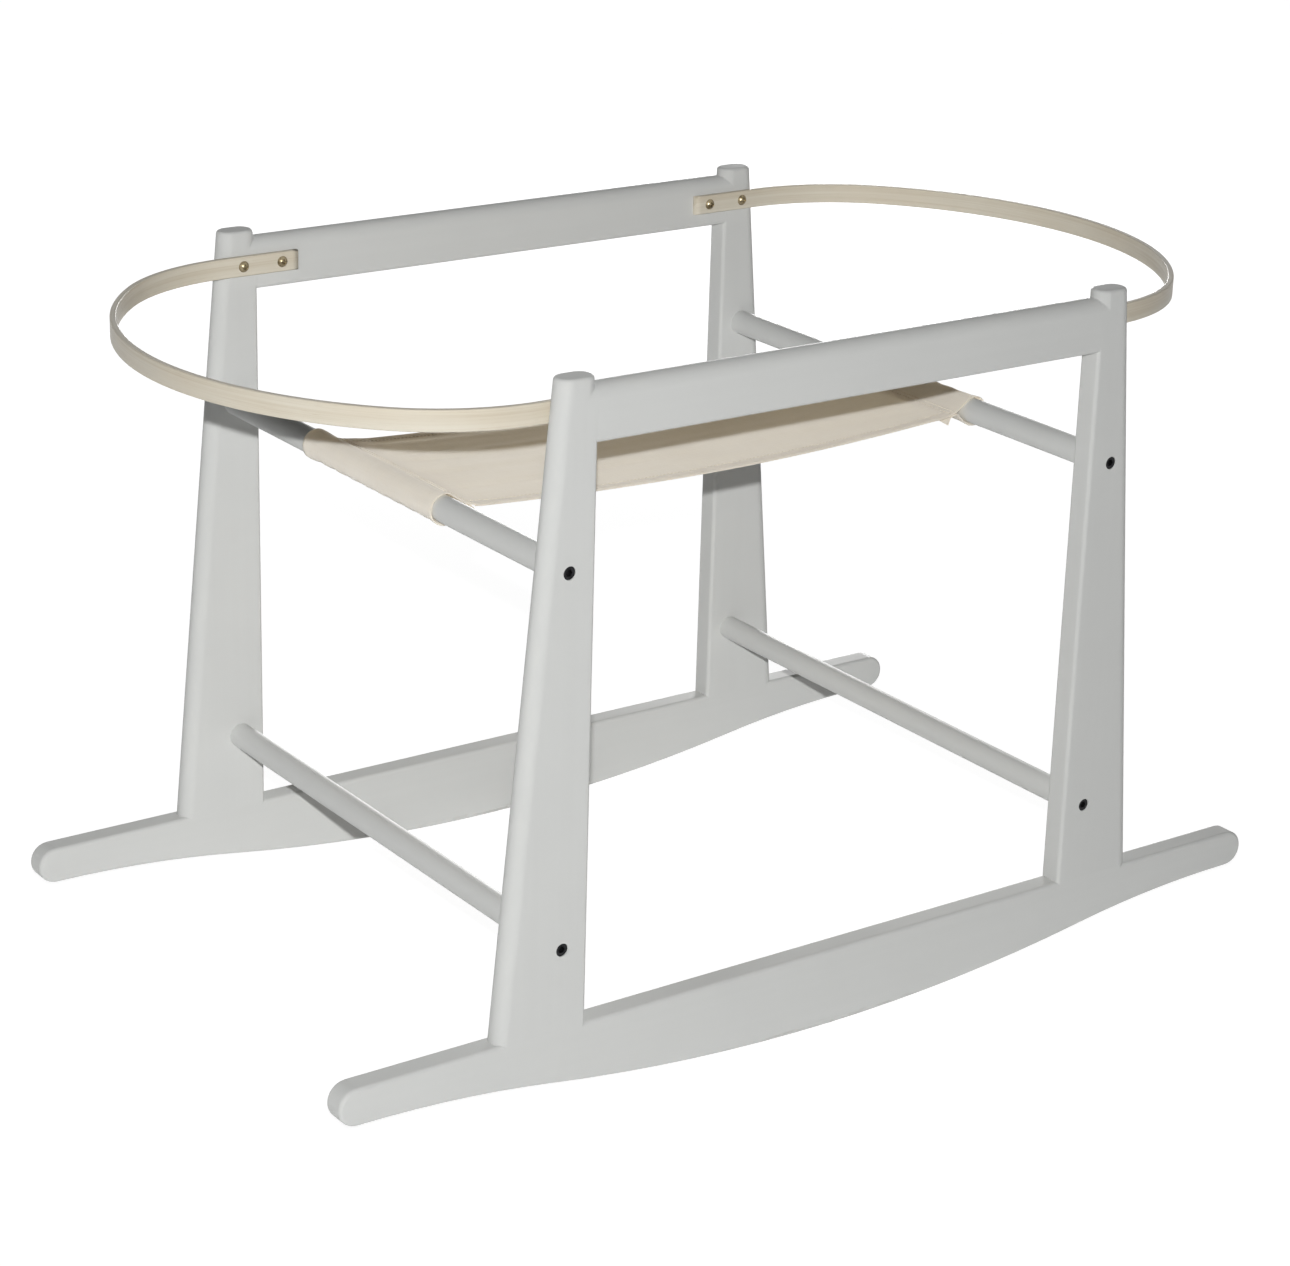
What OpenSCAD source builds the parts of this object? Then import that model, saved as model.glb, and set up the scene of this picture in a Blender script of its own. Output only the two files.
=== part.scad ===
/* [Stand] */
// Distance between the outer faces of the front and rear frames
stand_width = 470; // [420:1:540]
// Height of the post tops above the floor
stand_height = 520; // [470:1:580]
// Thickness of the rocker and post boards
board_t = 19; // [16:0.5:24]
// Radius of the eased board edges
edge_r = 3; // [1:0.5:5]

/* [Rockers] */
// Length of a rocker from tip to tip
rocker_length = 820; // [780:2:900]
// Height of a rocker at mid-length
rocker_height = 60; // [50:1:66]
// Height of a rocker at its round tips
tail_height = 28; // [18:1:32]
// Radius of the curve that rolls on the floor
belly_radius = 1500; // [1000:10:1900]

/* [Posts] */
// Distance from the middle of the stand to the straight inner edge of a post
post_inner_x = 216; // [190:1:235]
// Width of a post at its top
post_top_w = 28; // [26:1:42]
// Width of a post where it stands on the rocker
post_foot_w = 72; // [60:1:90]
// Radius of the round inner corner at the top of a post
crown_r = 7.5; // [6:0.5:10]

/* [Top rails] */
// Height of a top rail
rail_height = 39; // [34:1:56]
// Thickness of a top rail
rail_t = 19; // [14:0.5:19]
// How far the post tops stand above the rail
rail_drop = 6; // [0:0.5:15]

/* [Crossbars] */
// Diameter of the round crossbars
bar_d = 19; // [14:0.5:20]
// Distance from the middle of the stand to the crossbar axes
bar_x = 236.5; // [230:0.5:242]
// Height of the lower crossbars
lower_bar_z = 120; // [100:1:200]
// Height of the upper crossbars
upper_bar_z = 390; // [320:1:420]

/* [Crossbar bolts] */
// Shank diameter of a crossbar bolt
bolt_d = 6.3; // [5:0.1:7]
// Shank length of a crossbar bolt
bolt_length = 35; // [25:1:37]
// Diameter of the round bolt head
bolt_head_d = 9.5; // [8:0.1:12]
// Height of the round bolt head
bolt_head_h = 6; // [4:0.1:8]
// How far the bolt head lies below the face of the post
bolt_recess = 1; // [0:0.1:3]
// Width across the flats of the hexagon key socket
key_w = 4.8; // [4:0.1:6]
// Depth of the hexagon key socket
key_depth = 3; // [2:0.1:4]
// Outer diameter of the threaded insert in the end of a crossbar
insert_d = 10; // [8.5:0.1:11]
// Length of the threaded insert
insert_length = 25; // [15:1:40]

/* [Dowel pins] */
// Diameter of the pins between a rail and its posts
rail_pin_d = 8; // [6:0.5:9]
// Length of the pins between a rail and its posts
rail_pin_length = 36; // [24:1:40]
// Distance between the two pins at a rail end
rail_pin_pitch = 22; // [20:1:24]
// Diameter of the pins between a post and its rocker
foot_pin_d = 10; // [8:0.5:12]
// Length of the pins between a post and its rocker
foot_pin_length = 52; // [30:1:60]
// Distance from the inner edge of a post to its first foot pin
foot_pin_inset = 19; // [12:1:24]
// Distance between the two foot pins of a post
foot_pin_pitch = 28; // [20:1:32]

/* [Hoops] */
// Height of the bent strip
strip_w = 15; // [12:0.5:20]
// Thickness of the bent strip
strip_t = 4.5; // [3:0.1:6]
// Radius of the eased edges of the strip
strip_edge_r = 1; // [0.4:0.1:1.4]
// How far the strip lies below the middle of the rail
strip_drop = 0; // [0:0.5:6]
// Distance from the start of the bend to the tip of the hoop
hoop_overhang = 171; // [130:1:220]
// Half of the angle that the flatter tip curve turns through
tip_half_angle = 45; // [30:1:60]
// Length of flat strip past the post before the bend starts
bend_margin = 1; // [0:0.5:10]

/* [Hoop screws] */
// Shank diameter of a hoop screw
screw_d = 4; // [3:0.1:4.6]
// Shank length of a hoop screw
screw_length = 18; // [12:1:19]
// Diameter of the domed screw head
screw_head_d = 8.5; // [7:0.1:11]
// Height of the domed screw head
screw_head_h = 2.8; // [2:0.1:4]
// Distance from the post to the screw that enters the rail
rail_screw_inset = 18.5; // [12:0.5:25]
// Length of strip past the rail screw
strip_end_margin = 13.5; // [6:0.5:25]
// Width of the cross slots in the screw head
slot_w = 1.2; // [0.8:0.1:1.6]
// Length of the cross slots in the screw head
slot_length = 4.6; // [3:0.1:6]
// Depth of the cross slots in the screw head
slot_depth = 1.4; // [0.8:0.1:1.8]

/* [Sling] */
// Width of the cloth along the crossbars
sling_width = 176; // [140:1:300]
// How far the cloth sits towards the rear frame
sling_shift = 6; // [-30:1:30]
// Thickness of the cloth
cloth_t = 1; // [0.6:0.1:1.6]
// How far the cloth sags at mid-span
sling_sag = 10; // [3:0.5:30]
// Distance from a crossbar axis to the seam that closes its sleeve
seam_offset = 16; // [14:0.5:40]
// Width of the doubled hem beyond the seam
hem_flap = 7; // [4:0.5:20]

/* [Fits] */
// Gap all round a pin, bolt, insert or screw in its hole
fit_gap = 0.1; // [0.05:0.05:0.3]
// Gap between a crossbar and the cloth sleeve
sleeve_gap = 0.3; // [0.2:0.1:1]

/* [Hidden] */

paint = "#c8c8c5";
bent_wood = "#ddd3b6";
bare_wood = "#cfae7c";
canvas = "#dcd6c8";
black_steel = "#26262a";
nickel = "#b9b3a2";
zinc = "#a9adb0";

// Cutters run this far past the faces that they cut
over = 1;
// Where one form runs on into another, the next one steps in by this much and starts inside the last
lap = 0.03;
lap_length = 4;
small_fn = 64;
hexagon = 6;

// Planes and axes of the two frames
frame_y = (stand_width - board_t) / 2;
outer_y = stand_width / 2;
inner_y = outer_y - board_t;

// Rocker outline: the belly arc meets a reverse arc, which runs level into the round tip
nose_r = tail_height / 2;
nose_x = rocker_length / 2 - nose_r;
tail_z = rocker_height - tail_height;
reverse_radius = (nose_x * nose_x - 2 * belly_radius * tail_z + tail_z * tail_z) / (2 * tail_z);
belly_angle = asin(nose_x / (belly_radius + reverse_radius));
tail_lap_angle = atan(lap_length / reverse_radius);

// Post outline: a straight inner edge and a slanted round outer edge
post_rise = stand_height - rocker_height;
bullnose_r = board_t / 2;
taper = atan((post_foot_w - post_top_w) / post_rise);
post_outer_x = post_inner_x + post_top_w;
rim_z = stand_height - edge_r;
rim_x = post_outer_x - bullnose_r / cos(taper) + edge_r * tan(taper);
crown_x = post_inner_x + crown_r;
crown_z = stand_height - crown_r;

// Rails, hoop strip and the screws that hold it
rail_z = stand_height - rail_drop - rail_height / 2;
strip_z = rail_z - strip_drop;
post_screw_x = post_inner_x + post_top_w / 2;
rail_screw_x = post_inner_x - rail_screw_inset;
strip_end_x = rail_screw_x - strip_end_margin;
strip_face_y = inner_y - strip_t;
screw_xs = [post_screw_x, rail_screw_x];

// Hoop plan along the middle of the strip: a flat leg, a corner arc and half of the tip arc
bend_x = post_outer_x + bend_margin;
strip_y = inner_y - strip_t / 2;
strip_reach = hoop_overhang - strip_t / 2;
radius_step = (strip_y - strip_reach) / (cos(tip_half_angle) + sin(tip_half_angle) - 1);
corner_radius = strip_y - radius_step * sin(tip_half_angle);
tip_radius = corner_radius + radius_step;
corner_lap_angle = atan(lap_length / 2 / corner_radius);
tip_sweep = tip_half_angle + atan(lap_length / 2 / tip_radius);

// Bolts, counterbores and pins
head_seat_y = outer_y - bolt_recess - bolt_head_h;
bar_zs = [lower_bar_z, upper_bar_z];
rail_pin_zs = [rail_z - rail_pin_pitch / 2, rail_z + rail_pin_pitch / 2];
foot_pin_xs = [post_inner_x + foot_pin_inset, post_inner_x + foot_pin_inset + foot_pin_pitch];

// Sling: sleeves round the upper crossbars and a sheet that hangs in one shallow arc
sleeve_r = bar_d / 2 + sleeve_gap;
seam_x = bar_x - seam_offset;
sag_radius = (seam_x * seam_x + sling_sag * sling_sag) / (2 * sling_sag);
sag_angle = asin(seam_x / sag_radius);
flap_angle = sag_angle - asin((seam_x - hem_flap) / sag_radius);
seam_lap_angle = atan(cloth_t / sag_radius);

sides = [-1, 1];

// Enough segments for an arc of radius r to stay true
function arc_fn(r) = max(small_fn, 4 * ceil(r / 4));

// Draws its children in the quarter of the stand given by the signs of x and y
module quarter(sx, sy) {
    mirror([sx < 0 ? 1 : 0, 0, 0])
        mirror([0, sy < 0 ? 1 : 0, 0])
            children();
}

// Stands a shape drawn in x and z up in the frame, with its thickness along y
module upright() {
    rotate([90, 0, 0]) children();
}

// Sweeps a section, drawn from the line of the arc outwards, along an arc about the origin
module swept_arc(r, from_angle, to_angle) {
    rotate([0, 0, from_angle])
        rotate_extrude(angle = to_angle - from_angle, $fn = arc_fn(r))
            translate([r, 0])
                children();
}

// Rectangle with all four corners round
module round_rect(w, h, r) {
    square([w - 2 * r, h], center = true);
    square([w, h - 2 * r], center = true);
    for (x = sides, y = sides)
        translate([x * (w / 2 - r), y * (h / 2 - r)])
            circle(r, $fn = small_fn);
}

// Board section that runs from the origin along x, with eased corners at the origin
module eased_section(depth, t, r) {
    translate([r, -t / 2]) square([depth - r, t]);
    translate([0, r - t / 2]) square([depth, t - 2 * r]);
    for (y = sides)
        translate([r, y * (t / 2 - r)])
            circle(r, $fn = small_fn);
}

// Hole along y from y0 to y1
module hole_y(x, z, d, y0, y1) {
    translate([x, y0, z])
        rotate([-90, 0, 0])
            cylinder(h = y1 - y0, d = d, $fn = small_fn);
}

// Pin along z, centred on the foot joint
module foot_pin(d, length) {
    for (x = foot_pin_xs)
        translate([x, frame_y, rocker_height - length / 2])
            cylinder(h = length, d = d, $fn = small_fn);
}

// Pin along x, centred on the rail joint
module rail_pin(d, length) {
    for (z = rail_pin_zs)
        translate([post_inner_x - length / 2, frame_y, z])
            rotate([0, 90, 0])
                cylinder(h = length, d = d, $fn = small_fn);
}

// Lower edge of a rocker: the belly arc and two reverse arcs, with eased edges
module rocker_curves() {
    translate([0, belly_radius])
        swept_arc(belly_radius, -90 - belly_angle, -90 + belly_angle)
            mirror([1, 0]) eased_section(rocker_height + over, board_t, edge_r);
    for (side = sides)
        mirror([side < 0 ? 1 : 0, 0, 0])
            translate([nose_x, tail_z - reverse_radius])
                swept_arc(reverse_radius + lap, 90, 90 + belly_angle + tail_lap_angle)
                    eased_section(rocker_height + over, board_t - 2 * lap, edge_r);
}

// Disc turned from the half of its section, drawn about the origin, that lies on the right
module turned_disc(r) {
    rotate_extrude($fn = small_fn)
        intersection() {
            children();
            translate([0, -board_t]) square([2 * r, 2 * board_t]);
        }
}

// Round tip of a rocker, a full disc whose inner half lies inside the tail
module rocker_nose() {
    disc_r = nose_r - 2 * lap;
    translate([nose_x, tail_z + nose_r])
        turned_disc(disc_r)
            round_rect(2 * disc_r, board_t - 4 * lap, edge_r);
}

// Straight bar with eased top edges that trims the rocker to its level top
module rocker_top() {
    translate([-nose_x - over, 0, rocker_height])
        rotate([0, 90, 0])
            linear_extrude(2 * (nose_x + over))
                eased_section(rocker_height + over, board_t, edge_r);
}

// Board with the slanted round outer edge, longer than the post at both ends
module tapered_board(step) {
    translate([post_outer_x, frame_y, stand_height])
        rotate([0, -taper, 0])
            translate([0, 0, -post_rise - board_t])
                linear_extrude(post_rise + 2 * board_t) {
                    translate([-bullnose_r, 0]) circle(bullnose_r - step, $fn = small_fn);
                    translate([-bullnose_r - 2 * post_foot_w, step - bullnose_r])
                        square([2 * post_foot_w, board_t - 2 * step]);
                }
}

// Length of post between two heights, with eased inner edges, made smaller by a step on every side
module post_length(from_z, to_z, step) {
    intersection() {
        tapered_board(step);
        translate([post_inner_x + step, frame_y, from_z])
            linear_extrude(to_z - from_z)
                eased_section(post_foot_w + over, board_t - 2 * step, edge_r);
    }
}

// Rocker with a flush shoulder under each post
module rocker(sy) {
    color(paint)
        difference() {
            union() {
                translate([0, sy * frame_y, 0]) {
                    intersection() {
                        upright() rocker_curves();
                        rocker_top();
                    }
                    for (side = sides)
                        mirror([side < 0 ? 1 : 0, 0, 0])
                            upright() rocker_nose();
                }
                for (side = sides)
                    quarter(side, sy)
                        post_length(rocker_height - 2 * edge_r, rocker_height - lap, lap);
            }
            for (side = sides)
                quarter(side, sy)
                    foot_pin(foot_pin_d + 2 * fit_gap, foot_pin_length + 2 * fit_gap);
        }
}

// Rounded top of a post: a bar with eased edges, a disc over the outer edge and one at the inner corner
module post_cap() {
    outer_r = bullnose_r - lap;
    inner_r = crown_r - lap;
    translate([crown_x, frame_y, stand_height])
        rotate([0, 90, 0])
            linear_extrude(rim_x - crown_x)
                eased_section(crown_r + lap_length, board_t - 2 * lap, edge_r);
    translate([rim_x, frame_y, stand_height - lap])
        turned_disc(outer_r)
            rotate([0, 0, -90]) eased_section(2 * edge_r, 2 * outer_r, edge_r);
    translate([crown_x, frame_y, crown_z])
        upright()
            turned_disc(inner_r)
                round_rect(2 * inner_r, board_t - 4 * lap, edge_r);
}

// Block that takes off the square inner corner at the top of a post
module crown_cut() {
    translate([post_inner_x - over, inner_y - over, crown_z])
        cube([crown_r + over, board_t + 2 * over, crown_r]);
}

// Short length of the rail's section, let into the post so that the two faces run on flush
module rail_seat() {
    translate([post_inner_x + lap, frame_y, rail_z])
        rotate([0, 90, 0])
            linear_extrude(2 * edge_r)
                round_rect(rail_height - 2 * lap, min(rail_t, board_t) - 2 * lap, edge_r);
}

module post(sx, sy) {
    color(paint)
        quarter(sx, sy)
            difference() {
                union() {
                    difference() {
                        post_length(rocker_height, rim_z, 0);
                        crown_cut();
                    }
                    post_cap();
                    rail_seat();
                }
                foot_pin(foot_pin_d + 2 * fit_gap, foot_pin_length + 2 * fit_gap);
                rail_pin(rail_pin_d + 2 * fit_gap, rail_pin_length + 2 * fit_gap);
                hole_y(post_screw_x, strip_z, screw_d + 2 * fit_gap, inner_y - over,
                    strip_face_y + screw_length + fit_gap);
                for (z = bar_zs) {
                    hole_y(bar_x, z, bolt_d + 2 * fit_gap, inner_y - over, outer_y + over);
                    hole_y(bar_x, z, bolt_head_d + 2 * fit_gap, head_seat_y, outer_y + over);
                }
            }
}

module top_rail(sy) {
    color(paint)
        difference() {
            translate([-post_inner_x, sy * frame_y, rail_z])
                rotate([0, 90, 0])
                    linear_extrude(2 * post_inner_x)
                        round_rect(rail_height, rail_t, edge_r);
            for (side = sides)
                quarter(side, sy) {
                    rail_pin(rail_pin_d + 2 * fit_gap, rail_pin_length + 2 * fit_gap);
                    hole_y(rail_screw_x, strip_z, screw_d + 2 * fit_gap, inner_y - over,
                        strip_face_y + screw_length + fit_gap);
                }
        }
}

module crossbar(sx, z) {
    color(paint)
        difference() {
            hole_y(sx * bar_x, z, bar_d, -inner_y, inner_y);
            for (side = sides)
                quarter(1, side)
                    hole_y(sx * bar_x, z, insert_d + 2 * fit_gap,
                        inner_y - insert_length - fit_gap, inner_y + over);
        }
}

module crossbar_inserts(sy) {
    color(zinc)
        for (sx = sides, z = bar_zs)
            quarter(sx, sy)
                difference() {
                    hole_y(bar_x, z, insert_d, inner_y - insert_length, inner_y);
                    hole_y(bar_x, z, bolt_d + 2 * fit_gap, inner_y - insert_length - over,
                        inner_y + over);
                }
}

module crossbar_bolts(sy) {
    color(black_steel)
        for (sx = sides, z = bar_zs)
            quarter(sx, sy)
                difference() {
                    union() {
                        hole_y(bar_x, z, bolt_d, head_seat_y - bolt_length, head_seat_y);
                        hole_y(bar_x, z, bolt_head_d, head_seat_y, head_seat_y + bolt_head_h);
                    }
                    translate([bar_x, head_seat_y + bolt_head_h - key_depth, z])
                        rotate([-90, 0, 0])
                            cylinder(h = key_depth + over, d = key_w / cos(180 / hexagon), $fn = hexagon);
                }
}

module rail_pins(sy) {
    color(bare_wood)
        for (sx = sides)
            quarter(sx, sy) rail_pin(rail_pin_d, rail_pin_length);
}

module foot_pins(sy) {
    color(bare_wood)
        for (sx = sides)
            quarter(sx, sy) foot_pin(foot_pin_d, foot_pin_length);
}

// Section of the bent strip, made smaller by a step on every side
module strip_section(step) {
    round_rect(strip_t - 2 * step, strip_w - 2 * step, strip_edge_r);
}

// Flat leg and corner arc of a hoop at the rear right
module hoop_leg() {
    translate([strip_end_x, strip_y, 0])
        rotate([90, 0, 90])
            linear_extrude(bend_x - strip_end_x)
                strip_section(0);
    translate([bend_x, strip_y - corner_radius, 0])
        swept_arc(corner_radius, tip_half_angle, 90 + corner_lap_angle)
            strip_section(lap);
}

module hoop(sx) {
    color(bent_wood)
        difference() {
            translate([0, 0, strip_z])
                mirror([sx < 0 ? 1 : 0, 0, 0]) {
                    for (side = sides)
                        mirror([0, side < 0 ? 1 : 0, 0]) hoop_leg();
                    translate([bend_x + strip_reach - tip_radius, 0, 0])
                        swept_arc(tip_radius, -tip_sweep, tip_sweep)
                            strip_section(2 * lap);
                }
            for (side = sides, x = screw_xs)
                quarter(sx, side)
                    hole_y(x, strip_z, screw_d + 2 * fit_gap, strip_face_y - over, inner_y + over);
        }
}

// Wood screw with a domed head and a cross slot, seated on the strip
module hoop_screw(x) {
    dome_r = (screw_head_d * screw_head_d / 4 + screw_head_h * screw_head_h) / (2 * screw_head_h);
    difference() {
        union() {
            hole_y(x, strip_z, screw_d, strip_face_y, strip_face_y + screw_length);
            intersection() {
                translate([x, strip_face_y + dome_r - screw_head_h, strip_z])
                    sphere(dome_r, $fn = small_fn);
                hole_y(x, strip_z, 2 * screw_head_d, strip_face_y - 2 * screw_head_h, strip_face_y);
            }
        }
        for (turn = [0, 90])
            translate([x, strip_face_y - screw_head_h, strip_z])
                rotate([0, turn, 0])
                    cube([slot_length, 2 * slot_depth, slot_w], center = true);
    }
}

module hoop_screws(sx) {
    color(nickel)
        for (side = sides, x = screw_xs)
            quarter(sx, side) hoop_screw(x);
}

// Circle of radius r drawn out to a point at distance d; the straight sides start just inside it
module teardrop(r, d) {
    tangent = acos(r / d);
    touch = r - lap;
    circle(r, $fn = small_fn);
    polygon([
        [0, 0],
        touch * [cos(tangent), -sin(tangent)],
        [d, 0],
        touch * [cos(tangent), sin(tangent)]
    ]);
}

// Section of the sleeve round the left crossbar, closed by its seam
module sleeve_section() {
    outer_r = sleeve_r + cloth_t;
    translate([-bar_x, 0])
        difference() {
            teardrop(outer_r, seam_offset * outer_r / sleeve_r);
            teardrop(sleeve_r, seam_offset);
        }
}

// Band of cloth that follows the sag from one angle to another, both counted from straight down
module sag_band(thickness, from_angle, to_angle) {
    translate([0, sag_radius - sling_sag])
        intersection() {
            difference() {
                circle(sag_radius + thickness / 2, $fn = arc_fn(sag_radius));
                circle(sag_radius - thickness / 2, $fn = arc_fn(sag_radius));
            }
            polygon([
                [0, 0],
                2 * sag_radius * [sin(from_angle), -cos(from_angle)],
                2 * sag_radius * [sin(to_angle), -cos(to_angle)]
            ]);
        }
}

module sling() {
    color(canvas)
        translate([0, sling_shift, upper_bar_z])
            upright()
                linear_extrude(sling_width, center = true) {
                    for (side = sides)
                        mirror([side > 0 ? 1 : 0, 0]) {
                            sleeve_section();
                            sag_band(2 * cloth_t, -sag_angle - seam_lap_angle, flap_angle - sag_angle);
                        }
                    sag_band(cloth_t, flap_angle / 2 - sag_angle, sag_angle - flap_angle / 2);
                }
}

rocker(-1);  // front_rocker
rocker(1);  // rear_rocker
post(-1, -1);  // front_left_post
post(1, -1);  // front_right_post
post(-1, 1);  // rear_left_post
post(1, 1);  // rear_right_post
top_rail(-1);  // front_top_rail
top_rail(1);  // rear_top_rail
crossbar(-1, upper_bar_z);  // upper_left_crossbar
crossbar(1, upper_bar_z);  // upper_right_crossbar
crossbar(-1, lower_bar_z);  // lower_left_crossbar
crossbar(1, lower_bar_z);  // lower_right_crossbar
hoop(-1);  // left_hoop
hoop(1);  // right_hoop
hoop_screws(-1);  // left_hoop_screws
hoop_screws(1);  // right_hoop_screws
crossbar_bolts(-1);  // front_crossbar_bolts
crossbar_bolts(1);  // rear_crossbar_bolts
crossbar_inserts(-1);  // front_crossbar_inserts
crossbar_inserts(1);  // rear_crossbar_inserts
rail_pins(-1);  // front_rail_pins
rail_pins(1);  // rear_rail_pins
foot_pins(-1);  // front_foot_pins
foot_pins(1);  // rear_foot_pins
sling();
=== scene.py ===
import math

import bmesh
import bpy
import numpy as np
from mathutils import Matrix, Vector


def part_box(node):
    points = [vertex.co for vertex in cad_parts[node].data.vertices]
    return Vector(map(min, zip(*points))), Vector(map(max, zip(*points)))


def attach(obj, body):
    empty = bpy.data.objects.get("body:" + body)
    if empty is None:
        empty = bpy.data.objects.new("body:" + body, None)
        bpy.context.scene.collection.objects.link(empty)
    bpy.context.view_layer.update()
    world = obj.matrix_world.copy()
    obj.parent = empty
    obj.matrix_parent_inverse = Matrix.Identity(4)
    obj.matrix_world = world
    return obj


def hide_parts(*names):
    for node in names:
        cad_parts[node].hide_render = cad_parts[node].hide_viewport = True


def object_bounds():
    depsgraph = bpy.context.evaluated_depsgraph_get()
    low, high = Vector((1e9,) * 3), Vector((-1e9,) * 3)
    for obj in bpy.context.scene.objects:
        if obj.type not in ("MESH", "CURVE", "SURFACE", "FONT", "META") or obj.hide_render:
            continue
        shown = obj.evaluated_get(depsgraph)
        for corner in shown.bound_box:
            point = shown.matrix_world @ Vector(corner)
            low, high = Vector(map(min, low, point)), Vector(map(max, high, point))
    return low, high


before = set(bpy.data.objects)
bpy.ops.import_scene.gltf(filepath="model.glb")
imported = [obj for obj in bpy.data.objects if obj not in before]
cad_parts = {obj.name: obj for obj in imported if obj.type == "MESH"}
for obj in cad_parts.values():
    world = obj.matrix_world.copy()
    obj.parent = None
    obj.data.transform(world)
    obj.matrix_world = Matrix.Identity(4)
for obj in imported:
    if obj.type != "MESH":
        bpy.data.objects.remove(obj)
cad_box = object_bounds()
scene = bpy.context.scene
scene.view_settings.view_transform = "Standard"

# Sizes of the bent strips, in metres
STRIP_THICK = 0.0045
STRIP_EDGE = 0.001
BEND_X = 0.245
TIP_HALF_TURN = math.radians(45)
# The cloth: its sleeves and the seams beside the bars
CLOTH_THICK = 0.0009
SLEEVE_R = 0.0103
SLEEVE_EDGE = 0.004
SLEEVE_DROOP = 0.0012
SLEEVE_OPEN = 0.0009
SLEEVE_OPEN_DEPTH = 0.014
SLEEVE_WAVE = 0.019
SLEEVE_WAVE_HEIGHT = 0.00018
SEAM_OUT = 0.0166
SEAM_RISE = 0.0018
SEAM_FADE = 0.0055
SEAM_ROWS = (0.0022, 0.0056)
UNDER_SEAM = CLOTH_THICK * 0.9
# The flap under each sleeve, counted from its seam; its ends hang down, the front ones more than the rear
SEAM_FLAP = 0.0115
FLAP_START = 0.0012
FLAP_BELOW = CLOTH_THICK * 1.05
FLAP_BEND = (0.005, 0.0078)
FLAP_TURN = (math.radians(70), math.radians(18))
FLAP_LOOSE = 0.024
# The panel: its sag, its folds as wave lengths with a height for each metre of them, and its hems
PANEL_SAG = 0.0088
FOLD_SEED = 7
FOLD_WAVES = (0.061, 0.043, 0.031, 0.023, 0.017)
FOLD_HEIGHT = 0.016
FOLD_FADE = 0.016
PULL_WAVES = (0.012, 0.0085)
PULL_HEIGHT = 0.012
PULL_REACH = (0.72, 0.9)
HEM_START = 0.0082
HEM_WIDTH = 0.010
HEM_ROW = 0.0078
HEM_FOLD_R = CLOTH_THICK * 0.55
HEM_THICK = CLOTH_THICK * 0.9
STITCH_PITCH = 0.0032
STITCH_LONG = 0.0025
THREAD_R = 0.00028
# How many points the cloth has on a flap, on a straight run beside a bar, round a bar and past a seam,
# and over the panel's length and width
FLAP_POINTS, RUN_POINTS, ROUND_POINTS, SEAM_POINTS = 15, 13, 46, 24
PANEL_POINTS, WIDTH_POINTS = 108, 90
# The post tops, and the solid left over the highest pin below them
POST_TOP_WIDTH = 0.028
POST_TOP_EDGE = 0.0025
PIN_COVER = 0.0008
# Shares of the half thickness past which a point is on the outer skin and not on a pin hole
RAIL_SKIN, POST_SKIN = 0.88, 0.97
# The turn past which an edge looks sharp, and the distance at which points join
SHARP_TURN = math.radians(35)
JOIN = 1e-6


def srgb(red, green, blue):
    """A colour given as it looks on a screen, 0 to 255, in the linear numbers that a shader takes."""
    line = [v / 255 for v in (red, green, blue)]
    return (*[v / 12.92 if v <= 0.04045 else ((v + 0.055) / 1.055) ** 2.4 for v in line], 1.0)


def smooth(low, high, value):
    """0 below low, 1 above high, with soft ends."""
    t = np.clip((value - low) / (high - low), 0, 1)
    return t * t * (3 - 2 * t)


# Node trees

def put(tree, kind, inputs=None, **settings):
    """A node with its settings, and its inputs linked to a socket or set to a value."""
    made = tree.nodes.new(kind)
    for name, value in settings.items():
        setattr(made, name, value)
    for key, value in (inputs or {}).items():
        if isinstance(value, bpy.types.NodeSocket):
            tree.links.new(value, made.inputs[key])
        else:
            made.inputs[key].default_value = value
    return made


def sums(tree, operation, a, b=0.0, c=0.0, clamp=False):
    """One step of arithmetic on values."""
    return put(tree, "ShaderNodeMath", {0: a, 1: b, 2: c}, operation=operation, use_clamp=clamp).outputs[0]


def grow(tree, vector, factors):
    """A vector multiplied along each axis."""
    return put(tree, "ShaderNodeVectorMath", {0: vector, 1: factors}, operation="MULTIPLY").outputs[0]


def speckle(tree, vector, scale, detail=2.0, rough=0.5, twist=0.0):
    """Noise from about 0 to 1."""
    sockets = {"Vector": vector, "Scale": scale, "Detail": detail, "Roughness": rough, "Distortion": twist}
    return put(tree, "ShaderNodeTexNoise", sockets).outputs["Fac"]


def spread(tree, value, low, high, to_low=0.0, to_high=1.0):
    """A value from one range carried over to another, with soft ends."""
    sockets = {"Value": value, "From Min": low, "From Max": high, "To Min": to_low, "To Max": to_high}
    return put(tree, "ShaderNodeMapRange", sockets, interpolation_type="SMOOTHSTEP").outputs[0]


def blend_colour(tree, share, a, b, how="MIX"):
    """Colour a mixed with colour b."""
    made = put(tree, "ShaderNodeMix", data_type="RGBA", blend_type=how)
    for socket, value in zip((made.inputs[0], made.inputs[6], made.inputs[7]), (share, a, b)):
        if isinstance(value, bpy.types.NodeSocket):
            tree.links.new(value, socket)
        else:
            socket.default_value = value
    return made.outputs[2]


def group_tree(name, kind, inputs, outputs):
    """An empty node group with named sockets, and the nodes that stand for its two ends."""
    tree = bpy.data.node_groups.new(name, kind)
    for socket, form in inputs:
        tree.interface.new_socket(socket, in_out="INPUT", socket_type=form)
    for socket, form in outputs:
        tree.interface.new_socket(socket, in_out="OUTPUT", socket_type=form)
    return tree, tree.nodes.new("NodeGroupInput").outputs, tree.nodes.new("NodeGroupOutput").inputs


VALUE, COLOUR, VECTOR = "NodeSocketFloat", "NodeSocketColor", "NodeSocketVector"
SKIN_OUTPUTS = [("Colour", COLOUR), ("Roughness", VALUE), ("Height", VALUE)]


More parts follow.
